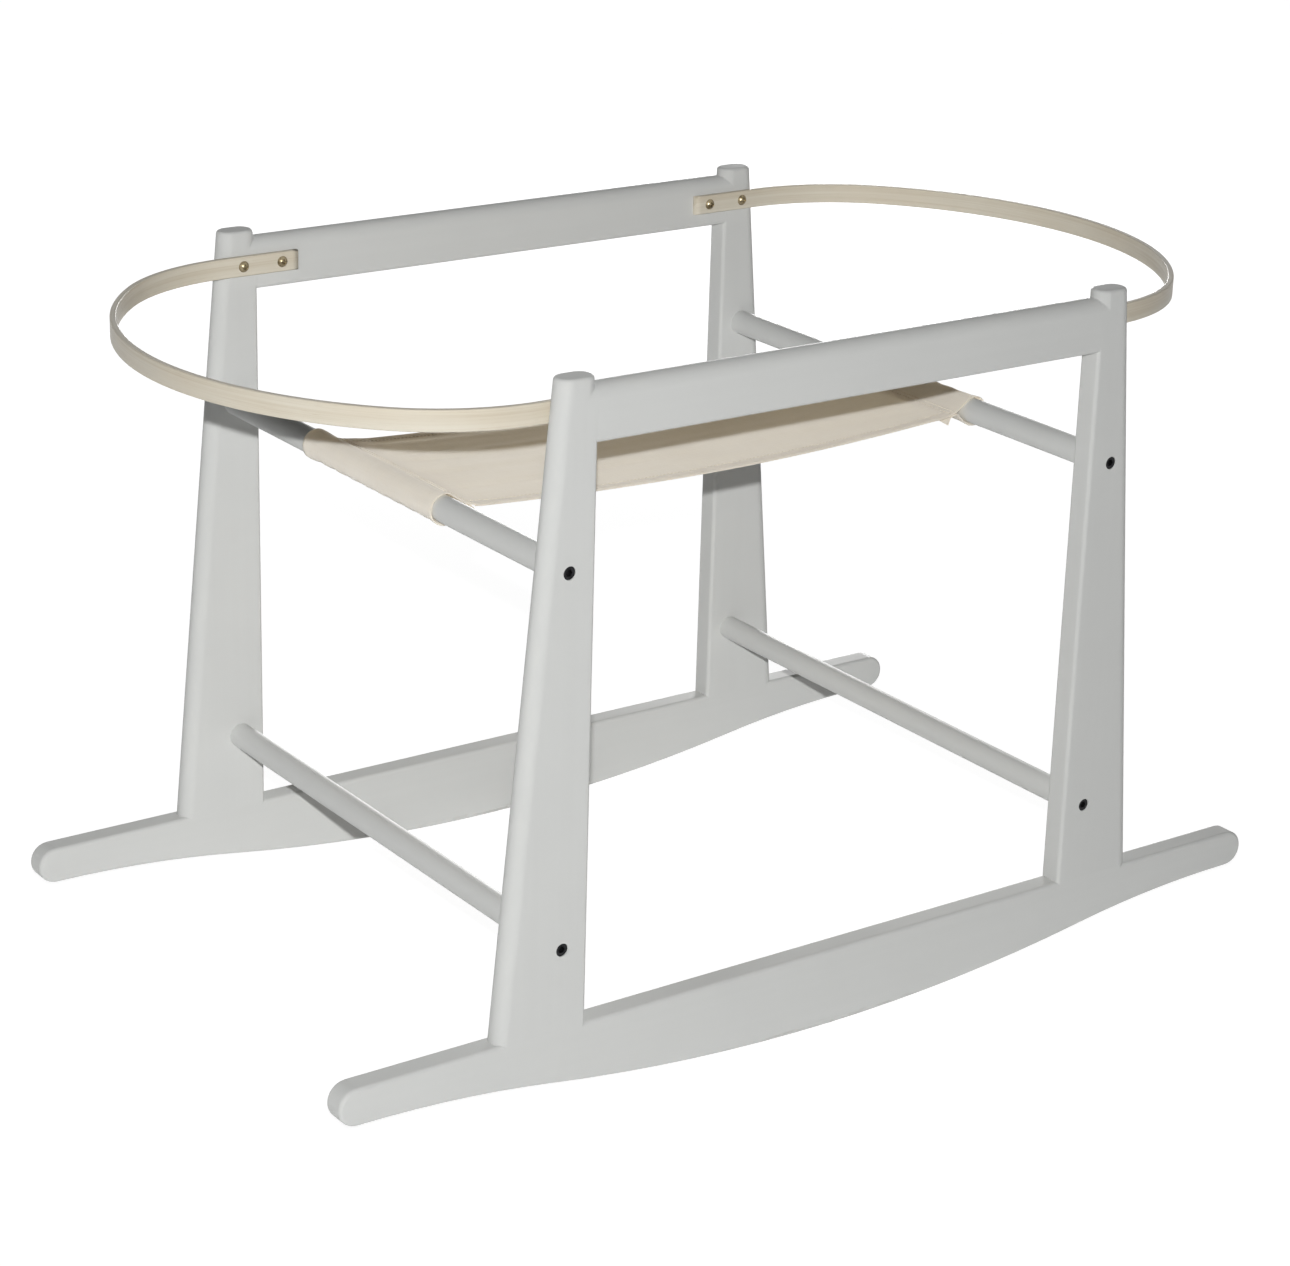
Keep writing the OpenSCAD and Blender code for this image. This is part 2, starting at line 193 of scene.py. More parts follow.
def hand_out(tree, out, colour, rough, height):
    """Links what a skin group has worked out to its three outputs."""
    for name, value in (("Colour", colour), ("Roughness", rough), ("Height", height)):
        tree.links.new(value, out[name])


def paint_skin_group():
    """Satin paint over brushed wood: the place's X runs along the board."""
    tree, given, out = group_tree(
        "paint_skin",
        "ShaderNodeTree",
        [
            ("Place", VECTOR),
            ("Paint", COLOUR),
            ("Rubbed Paint", COLOUR),
            ("Mottle", VALUE),
            ("Rub", VALUE),
            ("Scuff", VALUE),
        ],
        SKIN_OUTPUTS,
    )
    place = given["Place"]
    pores = speckle(tree, grow(tree, place, (14, 520, 520)), 1.0, 3.0, 0.6)
    strokes = speckle(tree, grow(tree, place, (3, 150, 150)), 1.0, 2.0)
    cloud = speckle(tree, place, 9.0, 3.0, 0.55)
    peel = speckle(tree, place, 700.0, 1.0)
    # A board's faces look along Y and its flanks do not, so the eased edges are where the normal lies between
    normal = tree.nodes.new("ShaderNodeNewGeometry").outputs["Normal"]
    facing = put(tree, "ShaderNodeSeparateXYZ", {0: normal}).outputs["Y"]
    flat = sums(tree, "MULTIPLY", facing, facing)
    arris = sums(tree, "MULTIPLY", sums(tree, "MULTIPLY", flat, 4.0), sums(tree, "SUBTRACT", 1.0, flat))
    worn = spread(tree, speckle(tree, grow(tree, place, (30, 90, 90)), 1.0, 4.0, 0.65), 0.42, 0.72)
    edge = sums(tree, "MULTIPLY", sums(tree, "MULTIPLY", arris, worn), given["Rub"], clamp=True)
    # The belly of a rocker rubs on the floor
    low = spread(tree, put(tree, "ShaderNodeSeparateXYZ", {0: place}).outputs["Z"], 0.001, 0.007, 1.0, 0.0)
    scratch = spread(tree, speckle(tree, grow(tree, place, (60, 400, 400)), 1.0, 3.0, 0.7), 0.45, 0.65)
    scuff = sums(tree, "MULTIPLY", sums(tree, "MULTIPLY", low, scratch), given["Scuff"], clamp=True)
    tone = sums(tree, "MULTIPLY_ADD", sums(tree, "SUBTRACT", cloud, 0.5), given["Mottle"], 1.0)
    brushed = sums(tree, "MULTIPLY", given["Mottle"], 0.6)
    tone = sums(tree, "MULTIPLY_ADD", sums(tree, "SUBTRACT", strokes, 0.5), brushed, tone)
    scaled = {0: given["Paint"], "Scale": tone}
    toned = put(tree, "ShaderNodeVectorMath", scaled, operation="SCALE").outputs[0]
    colour = blend_colour(tree, edge, toned, given["Rubbed Paint"])
    colour = blend_colour(tree, sums(tree, "MULTIPLY", scuff, 0.5), colour, srgb(150, 146, 138))
    rough = sums(tree, "MULTIPLY_ADD", cloud, 0.16, 0.42)
    rough = sums(tree, "MULTIPLY_ADD", pores, 0.08, rough)
    rough = sums(tree, "MULTIPLY_ADD", edge, -0.08, rough)
    rough = sums(tree, "MULTIPLY_ADD", scuff, 0.2, rough)
    height = sums(tree, "MULTIPLY_ADD", pores, 0.55, sums(tree, "MULTIPLY", strokes, 0.35))
    height = sums(tree, "MULTIPLY_ADD", peel, 0.12, height)
    hand_out(tree, out, colour, rough, height)
    return tree


def wood_grain_group():
    """Pale bent wood: the place's X runs along the strip."""
    tree, given, out = group_tree(
        "wood_grain",
        "ShaderNodeTree",
        [("Place", VECTOR), ("Pale", COLOUR), ("Dark", COLOUR), ("Warm", COLOUR), ("Contrast", VALUE)],
        SKIN_OUTPUTS,
    )
    place = given["Place"]
    bands = speckle(tree, grow(tree, place, (2.2, 230, 230)), 1.0, 3.0, 0.55, 0.35)
    lines = speckle(tree, grow(tree, place, (7, 900, 900)), 1.0, 3.0, 0.6)
    flecks = speckle(tree, grow(tree, place, (85, 1900, 1900)), 1.0, 2.0, 0.5)
    drift = speckle(tree, grow(tree, place, (9, 30, 30)), 1.0, 2.0)
    band = spread(tree, bands, 0.36, 0.68)
    line = spread(tree, lines, 0.48, 0.72)
    fleck = spread(tree, flecks, 0.63, 0.74)
    share = sums(tree, "MULTIPLY_ADD", line, 0.45, sums(tree, "MULTIPLY", band, 0.5))
    share = sums(tree, "MULTIPLY_ADD", fleck, 0.4, share)
    share = sums(tree, "MULTIPLY", share, given["Contrast"], clamp=True)
    colour = blend_colour(tree, spread(tree, drift, 0.35, 0.7, 0.0, 0.6), given["Pale"], given["Warm"])
    colour = blend_colour(tree, share, colour, given["Dark"])
    rough = sums(tree, "MULTIPLY_ADD", line, 0.12, 0.42)
    height = sums(tree, "SUBTRACT", sums(tree, "MULTIPLY", line, -0.5), sums(tree, "MULTIPLY", fleck, 0.6))
    hand_out(tree, out, colour, rough, height)
    return tree


def metal_skin_group():
    """Small hardware: fine marks and a tarnish that gathers in patches."""
    tree, given, out = group_tree(
        "metal_skin",
        "ShaderNodeTree",
        [
            ("Place", VECTOR),
            ("Bright", COLOUR),
            ("Tarnish", COLOUR),
            ("Roughness Low", VALUE),
            ("Roughness High", VALUE),
        ],
        SKIN_OUTPUTS,
    )
    patches = spread(tree, speckle(tree, given["Place"], 260.0, 3.0, 0.6), 0.38, 0.7)
    marks = speckle(tree, grow(tree, given["Place"], (900, 2600, 2600)), 1.0, 2.0)
    span = sums(tree, "SUBTRACT", given["Roughness High"], given["Roughness Low"])
    dull = sums(tree, "MULTIPLY_ADD", marks, 0.4, sums(tree, "MULTIPLY", patches, 0.6))
    rough = sums(tree, "MULTIPLY_ADD", dull, span, given["Roughness Low"])
    colour = blend_colour(tree, patches, given["Bright"], given["Tarnish"])
    hand_out(tree, out, colour, rough, marks)
    return tree


def canvas_weave_group():
    """Plain weave: the place's X and Y count metres along the two sets of threads."""
    tree, given, out = group_tree(
        "canvas_weave",
        "ShaderNodeTree",
        [("Place", VECTOR), ("Thread", COLOUR), ("Shade", COLOUR), ("Fleck", COLOUR), ("Pitch", VALUE)],
        SKIN_OUTPUTS,
    )
    axis = put(tree, "ShaderNodeSeparateXYZ", {0: given["Place"]}).outputs
    along = sums(tree, "DIVIDE", axis["X"], given["Pitch"])
    across = sums(tree, "DIVIDE", axis["Y"], given["Pitch"])

    def strand(run, side, start):
        """Height of the threads that run one way, over and under the others."""
        wave = sums(tree, "COSINE", sums(tree, "MULTIPLY", side, math.pi))
        body = sums(tree, "SQRT", sums(tree, "ABSOLUTE", wave))
        phase = sums(tree, "MULTIPLY_ADD", sums(tree, "ADD", run, sums(tree, "ROUND", side)), math.pi, start)
        over = sums(tree, "MULTIPLY_ADD", sums(tree, "COSINE", phase), 0.5, 0.5)
        return sums(tree, "MULTIPLY", body, over)

    weave = sums(tree, "MAXIMUM", strand(along, across, 0.0), strand(across, along, math.pi))
    slub = speckle(tree, grow(tree, given["Place"], (40, 900, 1)), 1.0, 2.0)
    slub_across = speckle(tree, grow(tree, given["Place"], (900, 40, 1)), 1.0, 2.0)
    cloud = speckle(tree, given["Place"], 14.0, 3.0, 0.55)
    fleck = spread(tree, speckle(tree, given["Place"], 520.0, 1.0), 0.70, 0.78)
    thick = sums(tree, "MULTIPLY", sums(tree, "SUBTRACT", slub, 0.4), 0.5)
    # The gaps between the threads are darkened as painted shade; the slubs and the cloud add tone that
    # differs at random
    dark = sums(tree, "MULTIPLY_ADD", sums(tree, "SUBTRACT", 1.0, weave), 0.45, thick)
    dark = sums(tree, "MULTIPLY_ADD", sums(tree, "SUBTRACT", slub_across, 0.5), 0.4, dark)
    dark = sums(tree, "MULTIPLY_ADD", sums(tree, "SUBTRACT", cloud, 0.5), 0.5, dark, clamp=True)
    colour = blend_colour(tree, dark, given["Thread"], given["Shade"])
    colour = blend_colour(tree, sums(tree, "MULTIPLY", fleck, 0.35), colour, given["Fleck"])
    height = sums(tree, "MULTIPLY_ADD", slub, 0.3, weave)
    height = sums(tree, "MULTIPLY_ADD", slub_across, 0.3, height)
    rough = sums(tree, "MULTIPLY_ADD", cloud, 0.12, 0.8)
    hand_out(tree, out, colour, rough, height)
    return tree


GROUPS = {
    "paint": paint_skin_group(),
    "wood": wood_grain_group(),
    "metal": metal_skin_group(),
    "canvas": canvas_weave_group(),
}


def finish_material(name, group, values, bump=(0.0002, 0.5), turn=None, attribute=None, uv=None, **shader):
    """A finish: one shared group on the piece's own place, a bump from its height, and one shader."""
    made = bpy.data.materials.new(name)
    made.use_nodes = True
    tree = made.node_tree
    surface = tree.nodes["Principled BSDF"]
    if attribute:
        place = put(tree, "ShaderNodeAttribute", attribute_name=attribute).outputs["Vector"]
    elif uv:
        place = put(tree, "ShaderNodeUVMap", uv_map=uv).outputs["UV"]
    else:
        place = tree.nodes.new("ShaderNodeTexCoord").outputs["Object"]
    if turn:
        place = put(tree, "ShaderNodeMapping", {"Vector": place, "Rotation": turn}).outputs[0]
    skin = put(tree, "ShaderNodeGroup", node_tree=GROUPS[group])
    tree.links.new(place, skin.inputs["Place"])
    for key, value in values.items():
        skin.inputs[key].default_value = value
    tree.links.new(skin.outputs["Colour"], surface.inputs["Base Color"])
    tree.links.new(skin.outputs["Roughness"], surface.inputs["Roughness"])
    distance, strength = bump
    heights = {"Height": skin.outputs["Height"], "Distance": distance, "Strength": strength}
    relief = put(tree, "ShaderNodeBump", heights)
    tree.links.new(relief.outputs[0], surface.inputs["Normal"])
    for key, value in shader.items():
        surface.inputs[key.replace("_", " ").title().replace("Ior", "IOR")].default_value = value
    return made


def grey_paint(name, turn=None, scuff=0.0):
    """The grey satin paint of the frame, brushed along the board."""
    values = {
        "Paint": srgb(203, 204, 202),
        "Rubbed Paint": srgb(212, 212, 208),
        "Mottle": 0.05,
        "Rub": 0.3,
        "Scuff": scuff,
    }
    return finish_material(
        name,
        "paint",
        values,
        bump=(0.00012, 0.35),
        turn=turn,
        diffuse_roughness=0.2,
        specular_ior_level=0.06,
    )


ALONG_Z = (0, math.radians(90), 0)
ALONG_Y = (0, 0, math.radians(-90))
rocker_paint = grey_paint("rocker_paint", scuff=1.0)
rail_paint = grey_paint("rail_paint")
post_paint = grey_paint("post_paint", ALONG_Z)
crossbar_paint = grey_paint("crossbar_paint", ALONG_Y)

bent_wood = finish_material(
    "bent_wood",
    "wood",
    {"Pale": srgb(212, 206, 191), "Dark": srgb(180, 165, 138), "Warm": srgb(208, 198, 179), "Contrast": 0.58},
    bump=(0.0001, 0.4),
    attribute="grain_place",
    specular_ior_level=0.35,
)
dowel_wood = finish_material(
    "dowel_wood",
    "wood",
    {"Pale": srgb(214, 190, 150), "Dark": srgb(168, 134, 92), "Warm": srgb(206, 178, 136), "Contrast": 0.9},
    turn=ALONG_Z,
)
black_steel = finish_material(
    "black_steel",
    "metal",
    {
        "Bright": srgb(46, 46, 48),
        "Tarnish": srgb(30, 30, 31),
        "Roughness Low": 0.34,
        "Roughness High": 0.55,
    },
    bump=(0.00003, 0.3),
    metallic=0.85,
)
nickel_brass = finish_material(
    "nickel_brass",
    "metal",
    {
        "Bright": srgb(150, 138, 112),
        "Tarnish": srgb(98, 86, 64),
        "Roughness Low": 0.25,
        "Roughness High": 0.42,
    },
    bump=(0.00002, 0.25),
    metallic=1.0,
)
zinc_plate = finish_material(
    "zinc_plate",
    "metal",
    {
        "Bright": srgb(186, 190, 196),
        "Tarnish": srgb(150, 152, 156),
        "Roughness Low": 0.3,
        "Roughness High": 0.5,
    },
    bump=(0.00003, 0.3),
    metallic=1.0,
)
cream_canvas = finish_material(
    "cream_canvas",
    "canvas",
    {
        "Thread": srgb(236, 236, 233),
        "Shade": srgb(210, 206, 198),
        "Fleck": srgb(180, 168, 146),
        "Pitch": 0.0009,
    },
    bump=(0.00018, 0.5),
    uv="cloth_uv",
    diffuse_roughness=1.0,
    sheen_weight=0.2,
    sheen_roughness=0.5,
    specular_ior_level=0.15,
)


def let_light_through(made, share, colour):
    """Lets a share of the light pass from one side of a thin cloth to the other."""
    tree = made.node_tree
    through = put(tree, "ShaderNodeBsdfTranslucent", {"Color": colour})
    back = tree.nodes["Principled BSDF"].outputs[0]
    both = put(tree, "ShaderNodeMixShader", {0: share, 1: back, 2: through.outputs[0]})
    tree.links.new(both.outputs[0], tree.nodes["Material Output"].inputs["Surface"])


let_light_through(cream_canvas, share=0.42, colour=srgb(250, 238, 216))
cream_thread = finish_material(
    "cream_thread",
    "canvas",
    {
        "Thread": srgb(238, 231, 215),
        "Shade": srgb(200, 188, 164),
        "Fleck": srgb(190, 175, 148),
        "Pitch": 0.0004,
    },
    bump=(0.00008, 0.5),
    diffuse_roughness=1.0,
    specular_ior_level=0.25,
)


# Making pieces

def mesh_piece(name, points, faces, edges=()):
    """A new object whose place is in its mesh."""
    mesh = bpy.data.meshes.new(name)
    mesh.from_pydata([tuple(map(float, p)) for p in points], list(edges), list(faces))
    mesh.update()
    piece = bpy.data.objects.new(name, mesh)
    scene.collection.objects.link(piece)
    return piece


def grown_mesh(piece, tree, values):
    """Runs a Geometry Nodes tree on a piece and leaves its result as a plain mesh."""
    step = piece.modifiers.new(tree.name, "NODES")
    step.node_group = tree
    for item in tree.interface.items_tree:
        if item.in_out == "INPUT" and item.name in values:
            step[item.identifier] = values[item.name]
    bpy.context.view_layer.update()
    graph = bpy.context.evaluated_depsgraph_get()
    grown = piece.evaluated_get(graph)
    mesh = bpy.data.meshes.new_from_object(grown, preserve_all_data_layers=True, depsgraph=graph)
    piece.modifiers.clear()
    old, piece.data = piece.data, mesh
    mesh.name = piece.name
    bpy.data.meshes.remove(old)
    return piece


GEOMETRY, MATERIAL = "NodeSocketGeometry", "NodeSocketMaterial"


def bent_strip_tree():
    """A flat strip with eased edges, swept along a path of edges; it keeps where the grain runs."""
    tree, given, out = group_tree(
        "bent_strip",
        "GeometryNodeTree",
        [("Path", GEOMETRY), ("Width", VALUE), ("Thickness", VALUE), ("Edge", VALUE), ("Wood", MATERIAL)],
        [("Strip", GEOMETRY)],
    )
    path = put(tree, "GeometryNodeMeshToCurve", {"Mesh": given["Path"]}).outputs[0]
    path = put(tree, "GeometryNodeSetCurveNormal", {"Curve": path}, mode="Z_UP").outputs[0]
    length = put(tree, "GeometryNodeCaptureAttribute", {"Geometry": path}, domain="POINT")
    length.capture_items.new("FLOAT", "Along")
    tree.links.new(tree.nodes.new("GeometryNodeSplineParameter").outputs["Length"], length.inputs["Along"])
    sides = {"Width": given["Thickness"], "Height": given["Width"]}
    shape = put(tree, "GeometryNodeCurvePrimitiveQuadrilateral", sides).outputs[0]
    eased = {"Curve": shape, "Radius": given["Edge"], "Count": 5}
    shape = put(tree, "GeometryNodeFilletCurve", eased, mode="POLY").outputs[0]
    section = put(tree, "GeometryNodeCaptureAttribute", {"Geometry": shape}, domain="POINT")
    section.capture_items.new("VECTOR", "Section")
    tree.links.new(tree.nodes.new("GeometryNodeInputPosition").outputs[0], section.inputs["Section"])
    swept = {
        "Curve": length.outputs["Geometry"],
        "Profile Curve": section.outputs["Geometry"],
        "Fill Caps": True,
    }
    strip = put(tree, "GeometryNodeCurveToMesh", swept).outputs[0]
    side = put(tree, "ShaderNodeSeparateXYZ", {0: section.outputs["Section"]}).outputs
    grain = {"X": length.outputs["Along"], "Y": side["X"], "Z": side["Y"]}
    place = put(tree, "ShaderNodeCombineXYZ", grain).outputs[0]
    kept = put(
        tree,
        "GeometryNodeStoreNamedAttribute",
        {"Geometry": strip, "Name": "grain_place", "Value": place},
        data_type="FLOAT_VECTOR",
        domain="POINT",
    ).outputs[0]
    kept = put(tree, "GeometryNodeSetShadeSmooth", {"Geometry": kept}).outputs[0]
    kept = put(tree, "GeometryNodeRealizeInstances", {"Geometry": kept}).outputs[0]
    kept = put(tree, "GeometryNodeSetMaterial", {"Geometry": kept, "Material": given["Wood"]}).outputs[0]
    tree.links.new(kept, out["Strip"])
    return tree


def stitch_row_tree():
    """Short arched threads, one after another along each path of edges."""
    tree, given, out = group_tree(
        "stitch_row",
        "GeometryNodeTree",
        [("Rows", GEOMETRY), ("Pitch", VALUE), ("Long", VALUE), ("Radius", VALUE), ("Thread", MATERIAL)],
        [("Stitches", GEOMETRY)],
    )
    rows = put(tree, "GeometryNodeMeshToCurve", {"Mesh": given["Rows"]}).outputs[0]
    spots = put(tree, "GeometryNodeCurveToPoints", {"Curve": rows, "Length": given["Pitch"]}, mode="LENGTH")
    half = sums(tree, "MULTIPLY", given["Long"], 0.5)
    sunk = sums(tree, "MULTIPLY", given["Radius"], -1.2)
    start, end = [
        put(tree, "ShaderNodeCombineXYZ", {"X": sums(tree, "MULTIPLY", half, way), "Z": sunk}).outputs[0]
        for way in (-1.0, 1.0)
    ]
    crown = put(tree, "ShaderNodeCombineXYZ", {"Z": sums(tree, "MULTIPLY", given["Radius"], 2.2)}).outputs[0]
    bow = {"Resolution": 4, "Start": start, "Middle": crown, "End": end}
    arch = put(tree, "GeometryNodeCurveQuadraticBezier", bow).outputs[0]
    circle = {"Resolution": 6, "Radius": given["Radius"]}
    ring = put(tree, "GeometryNodeCurvePrimitiveCircle", circle).outputs[0]
    swept = {"Curve": arch, "Profile Curve": ring, "Fill Caps": True}
    thread = put(tree, "GeometryNodeCurveToMesh", swept).outputs[0]
    thread = put(tree, "GeometryNodeSetShadeSmooth", {"Geometry": thread}).outputs[0]
    ahead = {"Vector": spots.outputs["Tangent"]}
    along = put(tree, "FunctionNodeAlignRotationToVector", ahead, axis="X").outputs[0]
    upright = put(
        tree,
        "FunctionNodeAlignRotationToVector",
        {"Rotation": along, "Vector": (0.0, 0.0, 1.0)},
        axis="Z",
        pivot_axis="X",
    ).outputs[0]
    made = put(
        tree,
        "GeometryNodeInstanceOnPoints",
        {"Points": spots.outputs["Points"], "Instance": thread, "Rotation": upright},
    ).outputs[0]
    made = put(tree, "GeometryNodeRealizeInstances", {"Geometry": made}).outputs[0]
    made = put(tree, "GeometryNodeSetMaterial", {"Geometry": made, "Material": given["Thread"]}).outputs[0]
    tree.links.new(made, out["Stitches"])
    return tree


# The bent hoops

def hoop_path(side):
    """The middle line of a hoop: two straight legs, two corner bends and the wider bend of the tip."""
    low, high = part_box("left_hoop" if side < 0 else "right_hoop")
    far = max(abs(low.x), abs(high.x)) - STRIP_THICK / 2
    end_x = min(abs(low.x), abs(high.x))
    leg_y = high.y - STRIP_THICK / 2
    reach = far - BEND_X
    turn = TIP_HALF_TURN
    # The corner and tip bends meet in line at half the tip's turn
    lean = (1 - math.cos(turn)) / math.sin(turn)
    corner_r = (reach - lean * leg_y) / (math.sin(turn) - lean * (1 - math.cos(turn)))
    tip_r = (leg_y - corner_r * (1 - math.cos(turn))) / math.sin(turn)
    spots = [(x, leg_y) for x in np.linspace(end_x, BEND_X, 12, endpoint=False)]
    for angle in np.linspace(0, turn, 36, endpoint=False):
        spots.append((BEND_X + corner_r * math.sin(angle), leg_y - corner_r * (1 - math.cos(angle))))
    for angle in np.linspace(turn, 0, 56):
        spots.append((far - tip_r + tip_r * math.cos(angle), tip_r * math.sin(angle)))
    spots += [(x, -y) for x, y in reversed(spots[:-1])]
    height = (low.z + high.z) / 2
    return [(side * x, y, height) for x, y in spots], high.z - low.z


strip_tree = bent_strip_tree()
for side, node_name in ((-1, "left_hoop"), (1, "right_hoop")):
    spots, width = hoop_path(side)
    hoop = mesh_piece(node_name + "_strip", spots, [], [(i, i + 1) for i in range(len(spots) - 1)])
    sizes = {"Width": width, "Thickness": STRIP_THICK, "Edge": STRIP_EDGE, "Wood": bent_wood}
    grown_mesh(hoop, strip_tree, sizes)
    hoop.modifiers.new("flat_faces", "WEIGHTED_NORMAL").keep_sharp = False
    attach(hoop, "root")
    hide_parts(node_name)


# The sling

left_low, left_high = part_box("upper_left_crossbar")
sling_low, sling_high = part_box("sling")
bar_x = -(left_low.x + left_high.x) / 2
bar_z = (left_low.z + left_high.z) / 2
seam_x = bar_x - SEAM_OUT
front_y, rear_y = sling_low.y, sling_high.y


def panel_height(x):
    """Height of the cloth between the seams: it falls away from each seam and sags by its own weight."""
    fall = np.exp(-(seam_x - np.abs(x)) / SEAM_FADE)
    return bar_z - PANEL_SAG * (1 - (x / seam_x) ** 2) + SEAM_RISE * fall


def sling_section():
    """The cloth's middle line in x and z, from the flap under one sleeve to the flap under the other,
    with the layer of each point: -2 on a flap, -1 under a bar, 1 over it, 0 on the panel."""
    seam = np.array([SEAM_OUT, SEAM_RISE])
    lean = math.atan2(SEAM_RISE, SEAM_OUT)
    touch = math.acos(SLEEVE_R / np.linalg.norm(seam))
    line = []
    for x in np.linspace(SEAM_OUT + SEAM_FLAP, SEAM_OUT + FLAP_START, FLAP_POINTS):
        line.append((x, panel_height(bar_x - x) - bar_z - FLAP_BELOW, -2))
    low_end = SLEEVE_R * np.array([math.cos(lean - touch), math.sin(lean - touch)])
    for t in np.linspace(0.04, 1, RUN_POINTS, endpoint=False):
        x, z = (1 - t) * (seam - (0, UNDER_SEAM)) + t * low_end
        line.append((x, z, -1))
    for angle in np.linspace(lean - touch, lean + touch - 2 * math.pi, ROUND_POINTS):
        layer = 1 if math.sin(angle) > 0 else -1
        line.append((SLEEVE_R * math.cos(angle), SLEEVE_R * math.sin(angle), layer))
    top_end = SLEEVE_R * np.array([math.cos(lean + touch), math.sin(lean + touch)])
    for t in np.linspace(0, 1, RUN_POINTS)[1:]:
        x, z = (1 - t) * top_end + t * seam
        line.append((x, z, 1))
    for x in np.linspace(SEAM_OUT, SEAM_OUT + 4 * SEAM_FADE, SEAM_POINTS)[1:]:
        line.append((x, panel_height(bar_x - x) - bar_z, 0))
    left = [(x - bar_x, z + bar_z, k) for x, z, k in line]
    inner = -left[-1][0]
    panel = [(x, panel_height(x), 0) for x in np.linspace(-inner, inner, PANEL_POINTS)[1:-1]]
    return np.array(left + panel + [(-x, z, k) for x, z, k in reversed(left)])


def sling_surface():
    """Points of the cloth's middle surface and their normals, one row for each point of the section."""
    section = sling_section()
    x, z, layer = section.T
    step = np.hypot(np.diff(x), np.diff(z))
    run = np.concatenate([[0], np.cumsum(step)])
    tangent = np.stack([np.gradient(x, run), np.gradient(z, run)], 1)
    tangent /= np.linalg.norm(tangent, axis=1)[:, None]
    out = np.stack([-tangent[:, 1], tangent[:, 0]], 1)
    ys = np.linspace(front_y, rear_y, WIDTH_POINTS)
    along = x[:, None] / seam_x
    inward = (bar_x - np.abs(x))[:, None]
    panel = smooth(SEAM_OUT + SEAM_FLAP, SEAM_OUT + SEAM_FLAP + FOLD_FADE, inward)
    chance = np.random.RandomState(FOLD_SEED)
    ripple = np.zeros((len(x), len(ys)))
    # Long folds from bar to bar, each a little askew, bowed and of changing depth
    for wave in FOLD_WAVES:
        phase = chance.uniform(0, 2 * math.pi)
        lean = chance.uniform(-0.25, 0.25)
        bow = chance.uniform(0, 2 * math.pi)
        side = ys[None, :] + lean * 0.05 * along + 0.004 * np.sin(2.3 * along + bow)
        depth = 0.55 + 0.45 * np.cos(1.7 * along + bow)
        ripple += FOLD_HEIGHT * wave * np.cos(2 * math.pi * side / wave + phase) * depth
    # Short pulls where the panel leaves each sleeve
    for wave in PULL_WAVES:
        phase = chance.uniform(0, 2 * math.pi)
        pull = np.cos(2 * math.pi * ys[None, :] / wave + phase)
        ripple += PULL_HEIGHT * wave * pull * smooth(*PULL_REACH, np.abs(along))
    ripple *= panel
    edge = np.minimum(ys - front_y, rear_y - ys)[None, :]
    # Each sleeve stands a little open at its ends and lies in slight waves on its bar
    sleeve = 1 - smooth(SLEEVE_EDGE, SEAM_OUT, inward)
    ripple += sleeve * SLEEVE_OPEN * (1 - smooth(0.0, SLEEVE_OPEN_DEPTH, edge))
    ripple += sleeve * SLEEVE_WAVE_HEIGHT * np.cos(2 * math.pi * ys[None, :] / SLEEVE_WAVE + 9 * along)
    points = np.zeros((len(x), len(ys), 3))
    points[:, :, 0] = x[:, None] + out[:, 0:1] * ripple
    points[:, :, 1] = ys[None, :]
    points[:, :, 2] = z[:, None] + out[:, 1:2] * ripple
    # At the ends of each seam its flap hangs down from the sewing, and the sleeve gives a little
    loose = 1 - smooth(0.0, FLAP_LOOSE, edge)
    turn = np.where(ys[None, :] < (front_y + rear_y) / 2, *FLAP_TURN) * loose
    give = np.where(layer < 0, smooth(0.0, SEAM_OUT, inward[:, 0]), 0)[:, None] * loose ** 2
    points[:, :, 2] -= SLEEVE_DROOP * give * np.minimum(turn, 1)
    for side in (-1, 1):
        rows = [i for i in range(len(x)) if layer[i] == -2 and side * x[i] > 0]
        rows.sort(key=lambda i: inward[i, 0])
        across, down = 0.0, 0.0
        for near, far in zip(rows, rows[1:]):
            middle = (inward[near, 0] + inward[far, 0]) / 2 - SEAM_OUT
            bend = turn[0] * smooth(*FLAP_BEND, middle)
            length = inward[far, 0] - inward[near, 0]
            across, down = across + length * (1 - np.cos(bend)), down + length * np.sin(bend)
            points[far, :, 0] += side * across
            points[far, :, 2] -= down
    du = np.gradient(points, axis=0)
    dv = np.gradient(points, axis=1)
    normals = np.cross(du, dv)
    normals /= np.linalg.norm(normals, axis=2)[:, :, None]
    return points, normals, run, section


points, normals, run, section = sling_surface()
count_x, count_y = points.shape[:2]
quads = [
    (i * count_y + j, (i + 1) * count_y + j, (i + 1) * count_y + j + 1, i * count_y + j + 1)
    for i in range(count_x - 1)
    for j in range(count_y - 1)
]


def cloth_piece(name, places, faces, flat, thick):
    """A piece of canvas with its threads laid by its flat places, and its thickness about its middle."""
    piece = mesh_piece(name, places, faces)
    piece.data.shade_smooth()
    layer = piece.data.uv_layers.new(name="cloth_uv")
    corner = np.zeros(len(piece.data.loops), int)
    piece.data.loops.foreach_get("vertex_index", corner)
    layer.data.foreach_set("uv", np.asarray(flat)[corner].astype(np.float32).ravel())
    piece.data.materials.append(cream_canvas)
    body = piece.modifiers.new("cloth_body", "SOLIDIFY")
    body.thickness, body.offset = thick, 0.0
    return piece


flat_places = np.stack(np.broadcast_arrays(run[:, None], points[:, :, 1]), 2).reshape(-1, 2)
sling = cloth_piece("sling_cloth", points.reshape(-1, 3), quads, flat_places, CLOTH_THICK)
sling.modifiers["cloth_body"].use_even_offset = True


